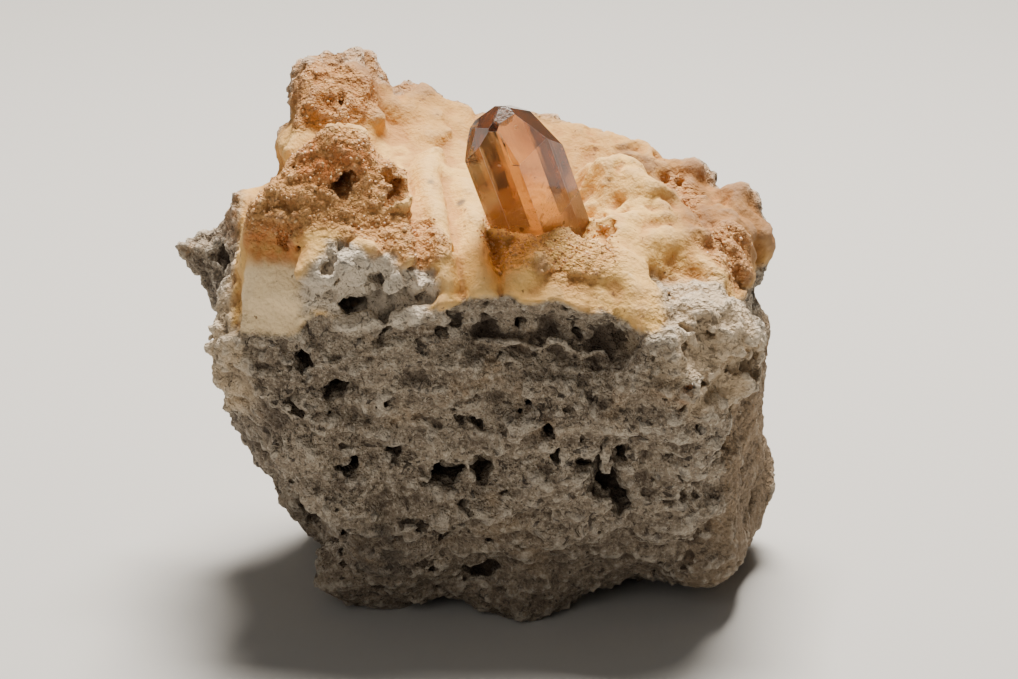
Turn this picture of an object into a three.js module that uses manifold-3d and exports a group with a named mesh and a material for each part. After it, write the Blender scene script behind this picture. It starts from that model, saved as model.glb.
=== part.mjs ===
// Topaz crystal on its rhyolite matrix: a hand specimen about 55 mm wide.
//
// The matrix is one broken lump of pale, porous rhyolite. Its top is the floor of an opened
// gas cavity, fluted from front to back, with a tall shoulder at the front left, a higher peak
// behind it and a lumpy rim along the back and right. The other sides are broken rock full of
// gas holes. One stout topaz prism stands in the cavity floor, leaning left and forwards.
//
// Millimetres, +Z up. The origin is under the middle of the specimen, on the surface it rests
// on. -Y is the front.

import * as THREE from "three";
import { ConvexGeometry } from "three/addons/geometries/ConvexGeometry.js";
import { ImprovedNoise } from "three/addons/math/ImprovedNoise.js";
import { mergeVertices, toCreasedNormals } from "three/addons/utils/BufferGeometryUtils.js";
import Module from "manifold-3d";

const wasm = await Module();
wasm.setup();

const { lerp, clamp, smoothstep, degToRad } = THREE.MathUtils;
const at = (x, y, z) => new THREE.Vector3(x, y, z);

// ---------------------------------------------------------------- driving dimensions

const FRONT = -17.5; // the broken front face
const BACK = 17.5; // the broken back face
const CELL = 1.88; // the skin's triangles are about this long
const SKIN_ROUNDS = 5; // how often they are evened out
const MATRIX_CREASE = 24; // degrees: where the matrix bends by more, its edge is sharp

const CRYSTAL_ROOT = 3.2; // how deep the crystal stands in its socket
const SOCKET_GAP = 0.3; // clearance round the root
const CRYSTAL_CREASE = 2; // degrees

// ---------------------------------------------------------------- solids

/** A closed geometry as a solid that can be joined and cut. */
function solid(geometry) {
  const bare = new THREE.BufferGeometry();
  bare.setAttribute("position", geometry.getAttribute("position").clone());
  if (geometry.index) bare.setIndex(geometry.index.clone());
  const merged = mergeVertices(bare, 1e-5);
  return new wasm.Manifold(
    new wasm.Mesh({
      numProp: 3,
      vertProperties: Float32Array.from(merged.getAttribute("position").array),
      triVerts: Uint32Array.from(merged.index.array),
    }),
  );
}

/** A solid as a geometry again, with its edges sharp where it bends by more than `crease`. */
function geometryOf(body, crease) {
  const mesh = body.getMesh();
  const geometry = new THREE.BufferGeometry();
  geometry.setAttribute("position", new THREE.BufferAttribute(mesh.vertProperties, 3));
  geometry.setIndex(new THREE.BufferAttribute(mesh.triVerts, 1));
  return toCreasedNormals(geometry, degToRad(crease));
}

// ---------------------------------------------------------------- roughness and blending

const perlin = new ImprovedNoise();

/** Smooth noise of about +-1 whose bumps are `size` across. */
function bumps(p, size, seed) {
  return 1.6 * perlin.noise(p.x / size + seed, p.y / size + 2.3 * seed, p.z / size - seed);
}

/** A number from 0 to 1 that belongs to a cell of a grid. */
function chance(i, j, k, seed) {
  const wave = Math.sin(i * 127.1 + j * 311.7 + k * 74.7 + seed * 19.3) * 43758.5453;
  return wave - Math.floor(wave);
}

/** Hackly fracture: shallow scoops about `size` across with sharp ridges between, 0 to 1. */
function scoops(p, size, seed) {
  const x = p.x / size;
  const y = p.y / size;
  const z = p.z / size;
  const [i0, j0, k0] = [Math.floor(x), Math.floor(y), Math.floor(z)];
  let nearest = 9;
  for (let i = i0 - 1; i <= i0 + 1; i++) {
    for (let j = j0 - 1; j <= j0 + 1; j++) {
      for (let k = k0 - 1; k <= k0 + 1; k++) {
        const dx = i + chance(i, j, k, seed) - x;
        const dy = j + chance(i, j, k, seed + 1) - y;
        const dz = k + chance(i, j, k, seed + 2) - z;
        nearest = Math.min(nearest, dx * dx + dy * dy + dz * dz);
      }
    }
  }
  return Math.min(Math.sqrt(nearest), 1);
}

/** The smaller of two distances, with a fillet of about `k`. */
function joined(a, b, k) {
  const h = Math.max(k - Math.abs(a - b), 0) / k;
  return Math.min(a, b) - (h * h * k) / 4;
}

/** The larger of two distances, with a rounded edge of about `k`. */
const cutBy = (a, b, k) => -joined(-a, -b, k);

/** A curve through hand-placed points [along, value], which run from left to right. */
function profile(points) {
  return (x) => {
    if (x <= points[0][0]) return points[0][1];
    for (let i = 1; i < points.length; i++) {
      const [x1, z1] = points[i];
      const [x0, z0] = points[i - 1];
      if (x < x1) return lerp(z0, z1, (x - x0) / (x1 - x0));
    }
    return points[points.length - 1][1];
  };
}

// ---------------------------------------------------------------- the matrix: broken faces

/** The way a face looks: `azimuth` 0 is the front and 90 the right, `tilt` is upwards. */
function facing(azimuth, tilt) {
  const a = degToRad(azimuth);
  const t = degToRad(tilt);
  return at(Math.sin(a) * Math.cos(t), -Math.cos(a) * Math.cos(t), Math.sin(t));
}

/** A broken face: a plane through `point`. */
function brokenFace(point, azimuth, tilt) {
  const normal = facing(azimuth, tilt);
  return { normal, distance: normal.dot(point) };
}

const BROKEN_FACES = [
  brokenFace(at(0, FRONT, 22), -3, 0), // front
  brokenFace(at(0, FRONT + 0.4, 13), 2, -25), // front, undercut below
  brokenFace(at(5, -8.5, 2.3), 2, -66), // front, the edge at the bottom
  brokenFace(at(-21.0, -10, 19.4), -63, -32), // left front, undercut
  brokenFace(at(-23.2, 0, 22), -88, 4), // left
  brokenFace(at(-22.8, 4, 12.6), -100, -36), // left back, undercut
  brokenFace(at(22.3, -13, 14), 42, -8), // front right corner
  brokenFace(at(23.2, -10, 10), 76, -3), // right flank
  brokenFace(at(23.6, -3, 25), 80, 6), // right, above
  brokenFace(at(24.6, 3, 5), 88, -46), // right, the edge at the bottom
  brokenFace(at(0, BACK, 22), 172, 4), // back
  brokenFace(at(0, BACK - 2, 11), 188, -24), // back, undercut below
  brokenFace(at(-17.5, 12.5, 20), -138, -8), // back left corner
  brokenFace(at(21, 12, 18), 140, -4), // back right corner
  brokenFace(at(0, 0, -1.5), 0, -90), // underneath
];

// ---------------------------------------------------------------- the matrix: its top

const frontRim = profile([
  [-21, 30.0],
  [-15, 30.4],
  [-9, 32.2],
  [-5, 33.4],
  [-2, 33.2],
  [0.5, 33.4],
  [3.2, 32.2],
  [5.5, 32.8],
  [9, 32.2],
  [14, 30.7],
  [20, 29.6],
  [25, 28.4],
]);

const backRim = profile([
  [-24, 31],
  [-20, 33],
  [-18.2, 36],
  [-17.2, 42.0],
  [-16.5, 45.8],
  [-15.3, 48.4],
  [-13.9, 46.5],
  [-12.8, 46.4],
  [-11.6, 48.2],
  [-10.2, 45.4],
  [-9.2, 42.4],
  [-8, 41.0],
  [-5.8, 42.8],
  [-3.9, 42.9],
  [-2, 41.4],
  [0, 40.6],
  [3.5, 40.6],
  [7, 38.9],
  [9.3, 38.4],
  [12, 39.2],
  [14.8, 38.0],
  [17, 35.6],
  [19.2, 36.2],
  [20.7, 34.0],
  [22.1, 32.8],
  [24.3, 33.9],
  [26.2, 32.4],
]);

const rimLine = profile([
  [-20, 8],
  [-10, 10],
  [-5, 13.5],
  [12, 14],
  [17, 12],
  [20.7, 10],
  [26, 7],
]);

const FLUTE_PITCH = 3.9;
const FLUTE_DEPTH = 1.9;

/** Rounded ribs with narrow grooves between them, running from the lip to the back rim. */
function flutes(x, y) {
  const across = (x + 1.9 + 0.12 * (y - FRONT)) / FLUTE_PITCH;
  const share = smoothstep(x, -7.5, -5) * (1 - smoothstep(x, 2.6, 3.6));
  return -FLUTE_DEPTH * share * (1 - Math.abs(Math.cos(Math.PI * across)));
}

/** The cavity floor: steep behind the lip, then gentle, then up to the back rim. */
function floorHeight(x, y) {
  const depth = Math.max(y - FRONT, -1);
  const rim = rimLine(x);
  const share =
    0.6 * (1 - Math.exp(-depth / 3)) * (1 - smoothstep(x, 3, 8) * 0.6) +
    0.1 * smoothstep(depth, 6, 18);
  const near = lerp(frontRim(x), Math.min(backRim(x), 43), share);
  const behind = Math.max(0, y - rim - 2) * 0.7;
  return lerp(near, backRim(x), smoothstep(y, rim - 9, rim - 0.5)) + flutes(x, y) - behind;
}

const shoulderTop = profile([
  [-22, 30],
  [-21.2, 36.5],
  [-20.4, 38.6],
  [-19, 40.8],
  [-17.4, 42.6],
  [-14.2, 44.8],
  [-12.6, 46.3],
  [-11.2, 47.6],
  [-10.2, 46.2],
  [-9.2, 43.4],
  [-7.6, 42.2],
  [-6.4, 41.4],
  [-5.8, 38.6],
  [-4.6, 36.4],
  [-3.4, 33.6],
  [-2.4, 30],
]);

const SHOULDER_CREST = -11; // how far back the shoulder's crest stands

/** The shoulder: a steep front from the lip to the crest, and a steep back. */
function shoulderHeight(x, y) {
  const up = clamp((y - FRONT + 0.2) / (SHOULDER_CREST - FRONT), 0, 1);
  const spur = smoothstep(x, -7, -5) * 3;
  const down = smoothstep(y, SHOULDER_CREST + 1.2 - spur, SHOULDER_CREST + 8 - spur);
  return lerp(lerp(frontRim(x), shoulderTop(x), up), 33, down);
}

const ridgeTop = profile([
  [8, 35],
  [10, 39.4],
  [12.8, 40.4],
  [14.4, 39.6],
  [16, 37.9],
  [18, 37.2],
  [19.6, 35.6],
  [21.4, 33.9],
  [23.2, 31.2],
  [25, 27],
]);
const ridgeLine = profile([
  [9, 1],
  [13, 0],
  [16, -2],
  [19.6, -5],
  [23.2, -9],
]);

/** The ridge that runs down the right side of the cavity. */
function ridgeHeight(x, y) {
  const beside = y - ridgeLine(x);
  return ridgeTop(x) - (beside < 0 ? 1.25 * Math.abs(beside) : 0.7 * beside);
}

/** Distance from p to a surface given by its height. */
function above(height, p) {
  const h = height(p.x, p.y);
  const alongX = (height(p.x + 0.2, p.y) - height(p.x - 0.2, p.y)) / 0.4;
  const alongY = (height(p.x, p.y + 0.2) - height(p.x, p.y - 0.2)) / 0.4;
  return (p.z - h) / Math.hypot(1, alongX, alongY);
}

// ---------------------------------------------------------------- the matrix: lumps and hollows

/** A rounded lump with half-sizes `size`, leaned about Y by `lean` and turned about Z by `turn`. */
function lump(centre, size, blend = 1.5, turn = 0, lean = 0) {
  const toLocal = new THREE.Quaternion()
    .setFromEuler(new THREE.Euler(0, degToRad(lean), degToRad(turn), "ZYX"))
    .invert();
  return { centre, size, toLocal, blend, least: Math.min(size.x, size.y, size.z) };
}

const local = at(0, 0, 0);

function lumpDistance(l, p) {
  local.copy(p).sub(l.centre).applyQuaternion(l.toLocal).divide(l.size);
  return (local.length() - 1) * l.least;
}

const LUMPS = [
  // the grey bulge on the shoulder's front, and the spur on its right
  lump(at(-11.8, -14.0, 34.6), at(4.4, 3.6, 4.2)),
  lump(at(-7.0, -14.2, 34.4), at(3.4, 3.4, 3.2)),
  lump(at(-16.6, -11.4, 38.6), at(3.6, 3.2, 3.4)),
  lump(at(-7.8, -10.6, 39.6), at(1.9, 2.6, 2.4), 1),
  // knobs on the left edge
  lump(at(-21.4, -9.2, 25.2), at(2.2, 3.4, 2.2), 1),
  lump(at(-21.2, -9.0, 21.4), at(2.2, 3.2, 2.2), 1),
  // the horn that sticks out to the left behind, and its foot
  lump(at(-22.6, 5.6, 26.6), at(3.0, 4.2, 5.6), 2),
  lump(at(-24.2, 6.6, 28.9), at(3.6, 2.8, 2.6), 1.5, 0, -12),
  lump(at(-26.4, 6.9, 29.4), at(2.6, 1.5, 1.3), 0.8, 0, -8),
  lump(at(-17.4, 7.5, 38.4), at(1.9, 2.6, 2.2), 1),
  lump(at(-20.9, 5, 33.9), at(2.5, 3.2, 2.6), 1),
  // the spike at the right end of the back rim, and knobs on the rim
  lump(at(24.0, 7.6, 31.0), at(2.0, 3.2, 2.2), 1),
  lump(at(24.6, 5.2, 29.4), at(3.2, 1.9, 1.7), 0.8, 0, 14),
  lump(at(19.2, 12, 33.6), at(1.9, 2.8, 3.0), 1),
  // the mound that the crystal stands in, and its spur to the right
  lump(at(6.2, -9.0, 33.6), at(5.0, 4.6, 4.0), 1.2),
  lump(at(5.0, -13.4, 33.4), at(2.2, 2.6, 2.6), 1),
  lump(at(8.6, -12.6, 33.4), at(2.6, 3.0, 2.8), 1),
  lump(at(11.6, -12.6, 32.4), at(2.8, 3.2, 3.0), 1),
  lump(at(13.9, -14.2, 31.2), at(2.2, 3.0, 2.6), 1),
  // ribs on the ridge's inner side
  lump(at(12.6, -5.5, 34.4), at(1.6, 4.4, 2.4), 1, -20),
  lump(at(16.2, -6.4, 33.4), at(1.6, 4.0, 2.2), 1, -24),
  lump(at(19.8, -8.4, 31.6), at(1.6, 3.2, 2.0), 1, -28),
  // crust and knobs at the front right
  lump(at(20.6, -13.4, 27.4), at(4.4, 3.6, 3.0), 1.2, 28),
  lump(at(22.6, -11.4, 24.0), at(2.4, 3.2, 2.2), 1, 28),
  lump(at(23.6, -6, 25.6), at(2.2, 2.8, 2.2), 1),
  lump(at(23.4, -3, 21.4), at(1.9, 2.8, 2.0), 1),
  lump(at(16.4, -16.0, 23.6), at(3.8, 2.4, 2.8), 1.2),
  // the smooth bulge low on the right flank
  lump(at(23.4, 3.6, 9.0), at(3.5, 6.3, 7.0), 2),
  // feet at the front and on the right
  lump(at(4.4, -8.6, 3.7), at(6.2, 4.5, 4.0), 1.5),
  lump(at(-10.6, -7.6, 4.4), at(3.4, 3.6, 4.6), 1.5),
  lump(at(19.8, 1.0, 3.2), at(4.0, 4.0, 3.6), 1.5),
];

const HOLLOWS = [
  lump(at(18.4, -11.4, 33.0), at(3.6, 3.6, 2.0), 0.8), // pocket right of the mound
  lump(at(1.9, -12.0, 36.8), at(1.2, 4.6, 2.6), 0.6), // shaded groove left of the crystal
  lump(at(5.8, -18.9, 28.6), at(6.4, 2.4, 2.8), 0.8), // shadow under the lip
  lump(at(14.2, -18.6, 16.6), at(6.4, 2.6, 4.2), 0.8), // below the ledge
  lump(at(-11, -18.8, 17.8), at(8.5, 2.2, 1.6), 0.8), // the band across the left front
];

/** A flat scar: the rock is cut back to a plane within `radius` of `centre`. */
function scar(centre, azimuth, tilt, radius) {
  return { centre, normal: facing(azimuth, tilt), radius };
}

function scarDistance(s, p) {
  local.copy(p).sub(s.centre);
  return local.dot(s.normal) - 1.4 * Math.max(0, local.length() - s.radius);
}

const SCARS = [
  scar(at(-18.3, -15.6, 32.8), -8, 32, 3.9), // the smooth pale facet on the shoulder
  scar(at(-21.2, -13, 33.6), -84, 0, 4.2),
  scar(at(-2, -17.2, 25.4), 8, -12, 4.2),
  scar(at(-9, -17.1, 24.8), -16, -8, 4.0),
  scar(at(1, -14.2, 8.4), -12, -30, 4.5),
  scar(at(11, -13.6, 7.2), 10, -28, 4.5),
  scar(at(24.6, -2, 11), 74, -4, 6.0),
  scar(at(-20.4, 9, 22), -112, -16, 5.0),
  scar(at(-7, 16.2, 29), 168, 16, 5.5),
  scar(at(7, 15.6, 17), 186, -14, 6.0),
  scar(at(17, 14.2, 25), 152, 12, 5.0),
];

/** Signed distance, near enough, to the matrix: negative inside. */
function matrixField(p) {
  const rough =
    0.9 * bumps(p, 9, 3.1) + 0.35 * bumps(p, 4.2, 7.7) - 1.6 * (scoops(p, 8.5, 5) - 0.55);
  let block = -1e3;
  for (const face of BROKEN_FACES) {
    block = cutBy(block, face.normal.dot(p) - face.distance, 1.2);
  }
  let top = joined(above(floorHeight, p), above(shoulderHeight, p), 1);
  top = joined(top, above(ridgeHeight, p), 1);
  let rock = cutBy(block + rough, top + 0.35 * rough, 1);
  for (const l of LUMPS) rock = joined(rock, lumpDistance(l, p) + 0.4 * rough, l.blend);
  for (const l of HOLLOWS) rock = cutBy(rock, -lumpDistance(l, p) - 0.2 * rough, l.blend);
  for (const s of SCARS) rock = cutBy(rock, scarDistance(s, p), 0.6);
  return rock;
}

// ---------------------------------------------------------------- the matrix: its skin

/** Which way the field grows at p, and how fast, given its value there. */
function gradient(p, here, h = 0.12) {
  const slope = (axis) => {
    const beside = p.clone();
    beside[axis] += h;
    return (matrixField(beside) - here) / h;
  };
  return at(slope("x"), slope("y"), slope("z"));
}

/** Moves p towards the matrix's surface, by half a cell at most. */
function settle(p) {
  const here = matrixField(p);
  const slope = gradient(p, here);
  slope.multiplyScalar(-here / Math.max(slope.lengthSq(), 0.09));
  return p.add(slope.clampLength(0, CELL / 2));
}

/** The outward direction of the surface at p. */
const outwardAt = (p) => gradient(p, matrixField(p)).normalize();

const SKIN_LOW = at(-31, -22, -6);
const SKIN_COUNT = [35, 25, 32]; // grid corners each way

/** Where only opposite corners of a grid square are inside, moves the faintest across. */
function untangle(field, numberOf) {
  const [nx, ny, nz] = SKIN_COUNT;
  let tangles = 1;
  while (tangles > 0) {
    tangles = 0;
    for (let k = 0; k < nz - 1; k++) {
      for (let j = 0; j < ny - 1; j++) {
        for (let i = 0; i < nx - 1; i++) {
          for (let axis = 0; axis < 3; axis++) {
            const square = [[0, 0], [1, 0], [1, 1], [0, 1]].map(([u, v]) => {
              const corner = [i, j, k];
              corner[(axis + 1) % 3] += u;
              corner[(axis + 2) % 3] += v;
              return numberOf(...corner);
            });
            const [a, b, c, d] = square.map((corner) => field[corner] < 0);
            if (a !== c || b !== d || a === b) continue;
            square.sort((p, q) => Math.abs(field[p]) - Math.abs(field[q]));
            field[square[0]] = field[square[0]] < 0 ? 0.05 : -0.05;
            tangles += 1;
          }
        }
      }
    }
  }
}

/** A closed skin on the field: a corner in each grid cell it crosses, a quad across each edge. */
function skinGeometry() {
  const [nx, ny, nz] = SKIN_COUNT;
  const cornerAt = (i, j, k) => at(i, j, k).multiplyScalar(CELL).add(SKIN_LOW);
  const numberOf = (i, j, k) => i + nx * (j + ny * k);
  const field = new Float64Array(nx * ny * nz);
  for (let k = 0; k < nz; k++) {
    for (let j = 0; j < ny; j++) {
      for (let i = 0; i < nx; i++) field[numberOf(i, j, k)] = matrixField(cornerAt(i, j, k));
    }
  }

  untangle(field, numberOf);

  const points = [];
  const cellPoint = new Map();
  const steps = [at(1, 0, 0), at(0, 1, 0), at(0, 0, 1)];

  /** The skin's corner in a cell: the middle of the places where its edges are crossed. */
  function pointIn(i, j, k) {
    const key = numberOf(i, j, k);
    if (cellPoint.has(key)) return cellPoint.get(key);
    const middle = at(0, 0, 0);
    let crossings = 0;
    for (let axis = 0; axis < 3; axis++) {
      for (const [u, v] of [[0, 0], [0, 1], [1, 0], [1, 1]]) {
        const low = [i, j, k];
        low[(axis + 1) % 3] += u;
        low[(axis + 2) % 3] += v;
        const a = field[numberOf(...low)];
        const high = [...low];
        high[axis] += 1;
        const b = field[numberOf(...high)];
        if (a < 0 === b < 0) continue;
        middle.add(cornerAt(...low).addScaledVector(steps[axis], (CELL * a) / (a - b)));
        crossings += 1;
      }
    }
    points.push(middle.divideScalar(crossings));
    cellPoint.set(key, points.length - 1);
    return points.length - 1;
  }

  const triangles = [];
  for (let k = 1; k < nz - 1; k++) {
    for (let j = 1; j < ny - 1; j++) {
      for (let i = 1; i < nx - 1; i++) {
        for (let axis = 0; axis < 3; axis++) {
          const high = [i, j, k];
          high[axis] += 1;
          const inside = field[numberOf(i, j, k)] < 0;
          if (inside === field[numberOf(...high)] < 0) continue;
          const round = [[0, 0], [-1, 0], [-1, -1], [0, -1]].map(([u, v]) => {
            const cell = [i, j, k];
            cell[(axis + 1) % 3] += u;
            cell[(axis + 2) % 3] += v;
            return pointIn(...cell);
          });
          const [a, b, c, d] = inside ? round : round.reverse();
          const split = points[a].distanceTo(points[c]) < points[b].distanceTo(points[d]);
          triangles.push(...(split ? [a, b, c, a, c, d] : [a, b, d, b, c, d]));
        }
      }
    }
  }

  const neighbours = points.map(() => new Set());
  for (let t = 0; t < triangles.length; t += 3) {
    for (let corner = 0; corner < 3; corner++) {
      const from = triangles[t + corner];
      const to = triangles[t + ((corner + 1) % 3)];
      neighbours[from].add(to);
      neighbours[to].add(from);
    }
  }
  for (let round = 0; round < SKIN_ROUNDS; round++) {
    const moved = points.map((p, i) => {
      const mean = at(0, 0, 0);
      for (const n of neighbours[i]) mean.add(points[n]);
      return settle(p.clone().lerp(mean.divideScalar(neighbours[i].size), 0.5));
    });
    moved.forEach((p, i) => points[i].copy(p));
  }
  for (const p of points) settle(settle(p));

  const skin = new THREE.BufferGeometry();
  const flat = points.flatMap((p) => [p.x, p.y, p.z]);
  skin.setAttribute("position", new THREE.Float32BufferAttribute(flat, 3));
  skin.setIndex(triangles);
  return skin;
}

/** The first point of the matrix that is met coming in along `direction` towards `from`. */
function surfaceAlong(from, direction, reach = 48) {
  const p = from.clone().addScaledVector(direction, reach);
  for (let step = 0; step < 300; step++) {
    const gap = matrixField(p);
    if (gap < 0.01) break;
    p.addScaledVector(direction, -0.5 * gap);
  }
  return p;
}

let matrixSolid = solid(skinGeometry());

// cut flat where it rests
const ground = new THREE.BoxGeometry(90, 90, 20).translate(0, 0, -10);
matrixSolid = matrixSolid.subtract(solid(ground));

// ---------------------------------------------------------------- the matrix: gas holes

/** A gas hole: a lopsided bubble `wide` by `tall`, its middle just under the surface. */
function gasHole(mouth, outward, wide, tall, turn) {
  const bubble = new THREE.IcosahedronGeometry(0.5, 0);
  bubble.rotateZ(degToRad(turn * 2.3));
  bubble.scale(wide, tall, 1.2 * Math.sqrt(wide * tall));
  bubble.rotateZ(degToRad(turn));
  const towards = new THREE.Quaternion().setFromUnitVectors(at(0, 0, 1), outward);
  bubble.applyQuaternion(towards);
  const centre = mouth.clone().addScaledVector(outward, -0.15 * Math.min(wide, tall));
  return solid(bubble.translate(centre.x, centre.y, centre.z));
}

// seen from the front: [x, z, width, height, turn]
const FRONT_HOLES = [
  [-10.8, 31.8, 2.6, 1.8, 10],
  [-15.0, 27.1, 2.2, 1.9, 0],
  [-17.5, 26.9, 1.5, 1.2, 30],
  [-12.7, 24.3, 2.8, 1.7, 12],
  [-1.9, 22.2, 1.2, 1.8, -20],
  [0.4, 21.5, 1.2, 1.2, 0],
  [4.0, 23.0, 1.8, 1.4, 15],
  [6.0, 21.2, 2.0, 2.2, 0],
  [8.5, 29.7, 1.6, 1.6, 40],
  [3.8, 29.8, 1.8, 1.6, 0],
  [6.7, 18.8, 1.9, 1.8, 25],
  [9.4, 17.1, 2.8, 3.4, 20],
  [10.9, 15.1, 3.2, 3.2, 40],
  [12.3, 13.3, 2.4, 2.3, 20],
  [12.6, 18.2, 1.8, 1.4, 0],
  [16.9, 14.0, 2.3, 1.2, -15],
  [19.4, 15.1, 1.3, 1.2, 0],
  [1.7, 6.6, 2.3, 1.5, 0],
  [-2.8, 16.3, 4.4, 2.2, 8],
  [0.3, 16.9, 2.0, 2.4, 0],
  [-11.3, 17.2, 3.2, 1.7, -12],
  [-7.7, 18.9, 2.3, 1.1, 0],
  [-6.4, 11.8, 1.5, 1.3, 0],
  [-10.7, 10.9, 1.4, 1.1, 20],
  [-11.4, 41.3, 2.4, 2.0, 35],
  [-18.0, 39.7, 1.1, 1.5, 0],
  [-6.9, 38.9, 1.2, 1.2, 0],
  [12.4, 29.0, 2.4, 1.1, -25],
  [17.3, 28.7, 1.5, 1.2, 0],
  [21.8, 26.8, 1.8, 1.9, 0],
  [19.6, 25.1, 1.4, 1.2, 30],
  [18.4, 20.8, 1.1, 1.3, 0],
];
const holes = FRONT_HOLES.map(([x, z, wide, tall, turn]) => {
  const mouth = surfaceAlong(at(x, 0, z), at(0, -1, 0), 24);
  return gasHole(mouth, outwardAt(mouth), wide, tall, turn);
});

// the other sides: spread by the golden angle, sizes by chance
const GOLDEN = 2.39996;
const SIDE_HOLES = 26;
for (let i = 0; i < SIDE_HOLES; i++) {
  const azimuth = 90 + ((i * GOLDEN * 180) / Math.PI) % 180;
  const height = -26 + (62 * (i + 0.5)) / SIDE_HOLES;
  const mouth = surfaceAlong(at(0, 0, 19), facing(azimuth, height));
  const chance = 0.5 + 0.5 * bumps(at(i * 1.7, 0.3, 0.9), 1, 4.2);
  const wide = 1.3 + 1.5 * clamp(chance, 0, 1);
  holes.push(gasHole(mouth, outwardAt(mouth), wide, wide * 0.75, 37 * i));
}
for (const hole of holes) matrixSolid = matrixSolid.subtract(hole);

// ---------------------------------------------------------------- the topaz crystal

// Its axes: c is the long axis, a looks at the viewer, b runs to the right.
const C_AXIS = at(-0.25, -0.456, 0.853).normalize();
const A_AXIS = at(0, -0.94, 0.342).addScaledVector(C_AXIS, -0.72).normalize();
const B_AXIS = C_AXIS.clone().cross(A_AXIS).normalize();
const CRYSTAL_FOOT = at(5.5, -11.5, 37.4); // where the front edge leaves the matrix

/** A crystal face by the share of its normal along a, b and c, `distance` from the foot. */
function crystalFace(a, b, c, distance) {
  const normal = at(0, 0, 0)
    .addScaledVector(A_AXIS, a)
    .addScaledVector(B_AXIS, b)
    .addScaledVector(C_AXIS, c)
    .normalize();
  return new THREE.Plane(normal, -normal.dot(CRYSTAL_FOOT) - distance);
}

/** Prism face whose normal stands `angle` degrees from a, to the right when positive. */
function prismFace(angle, distance) {
  return crystalFace(Math.cos(degToRad(angle)), Math.sin(degToRad(angle)), 0, distance);
}

const CRYSTAL_FACES = [
  prismFace(27.9, 0), // m, right front
  prismFace(-27.9, 0), // m, left front
  prismFace(46.6, 1.15), // l, right front
  prismFace(-46.6, 0.95), // l, left front
  prismFace(180 - 27.9, 5.6),
  prismFace(180 + 27.9, 5.0),
  prismFace(180 - 46.6, 5.0),
  prismFace(180 + 46.6, 5.1),
  crystalFace(0, 0, 1, 12.75), // c, the small top face
  crystalFace(0, 0.91, 0.41, 6.1), // right dome
  crystalFace(0, -0.85, 0.53, 7.6), // left dome
  crystalFace(0.62, -0.33, 0.71, 8.55), // pyramid, left front
  crystalFace(-0.3, -0.55, 0.78, 10.55), // pyramid, left
  crystalFace(-0.62, 0.34, 0.7, 10.6), // pyramid, right back
  crystalFace(-0.66, -0.25, 0.7, 10.8), // pyramid, left back
  crystalFace(-0.5, 0.6, 0.62, 9.45), // pyramid, right
  crystalFace(0, 0, -1, CRYSTAL_ROOT),
];

/** The closed solid within all the faces, each moved outwards by `grow`. */
function crystalSolid(faces, grow) {
  const planes = faces.map((face) => new THREE.Plane(face.normal, face.constant - grow));
  const corners = [];
  for (let i = 0; i < planes.length; i++) {
    for (let j = i + 1; j < planes.length; j++) {
      for (let k = j + 1; k < planes.length; k++) {
        const corner = meeting(planes[i], planes[j], planes[k]);
        if (corner && planes.every((plane) => plane.distanceToPoint(corner) < 1e-6)) {
          corners.push(corner);
        }
      }
    }
  }
  return solid(new ConvexGeometry(corners));
}

/** Where three planes meet, or nothing when they do not. */
function meeting(p, q, r) {
  const across = q.normal.clone().cross(r.normal);
  const volume = p.normal.dot(across);
  if (Math.abs(volume) < 1e-6) return null;
  return across
    .multiplyScalar(-p.constant)
    .addScaledVector(r.normal.clone().cross(p.normal), -q.constant)
    .addScaledVector(p.normal.clone().cross(q.normal), -r.constant)
    .divideScalar(volume);
}

const crystal = new THREE.Mesh(
  geometryOf(crystalSolid(CRYSTAL_FACES, 0), CRYSTAL_CREASE),
  new THREE.MeshPhysicalMaterial({
    color: 0xc98a55,
    roughness: 0.05,
    metalness: 0,
    ior: 1.62,
    transmission: 1,
    thickness: 6,
  }),
);
crystal.name = "topaz_crystal";

matrixSolid = matrixSolid.subtract(crystalSolid(CRYSTAL_FACES, SOCKET_GAP));
const matrix = new THREE.Mesh(
  geometryOf(matrixSolid, MATRIX_CREASE),
  new THREE.MeshStandardMaterial({ color: 0xb3a48c, roughness: 0.95, metalness: 0 }),
);
matrix.name = "rhyolite_matrix";

// ---------------------------------------------------------------- the specimen

const specimen = new THREE.Group();
specimen.add(matrix, crystal);

// the origin goes under the middle of the whole
const middle = new THREE.Box3().setFromObject(specimen).getCenter(at(0, 0, 0));
specimen.position.set(-middle.x, -middle.y, 0);
specimen.updateMatrixWorld(true);

export default specimen;
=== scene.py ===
from math import cos, pi, radians, sin

import bmesh
import bpy
from mathutils import Matrix, Vector
from mathutils.bvhtree import BVHTree


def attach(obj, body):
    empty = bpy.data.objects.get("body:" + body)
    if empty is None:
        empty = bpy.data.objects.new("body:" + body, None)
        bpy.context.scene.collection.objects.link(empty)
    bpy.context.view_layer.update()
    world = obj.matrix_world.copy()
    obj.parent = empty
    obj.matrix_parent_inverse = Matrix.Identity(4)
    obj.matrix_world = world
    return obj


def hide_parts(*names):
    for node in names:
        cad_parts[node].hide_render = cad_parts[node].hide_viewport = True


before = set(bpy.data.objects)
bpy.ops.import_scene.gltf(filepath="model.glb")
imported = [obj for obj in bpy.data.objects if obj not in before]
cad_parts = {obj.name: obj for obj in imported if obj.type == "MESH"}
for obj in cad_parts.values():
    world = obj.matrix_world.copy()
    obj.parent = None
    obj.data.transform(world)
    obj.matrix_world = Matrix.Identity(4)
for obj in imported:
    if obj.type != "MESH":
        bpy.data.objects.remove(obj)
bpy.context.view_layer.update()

MM = 0.001
scene = bpy.context.scene


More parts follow.
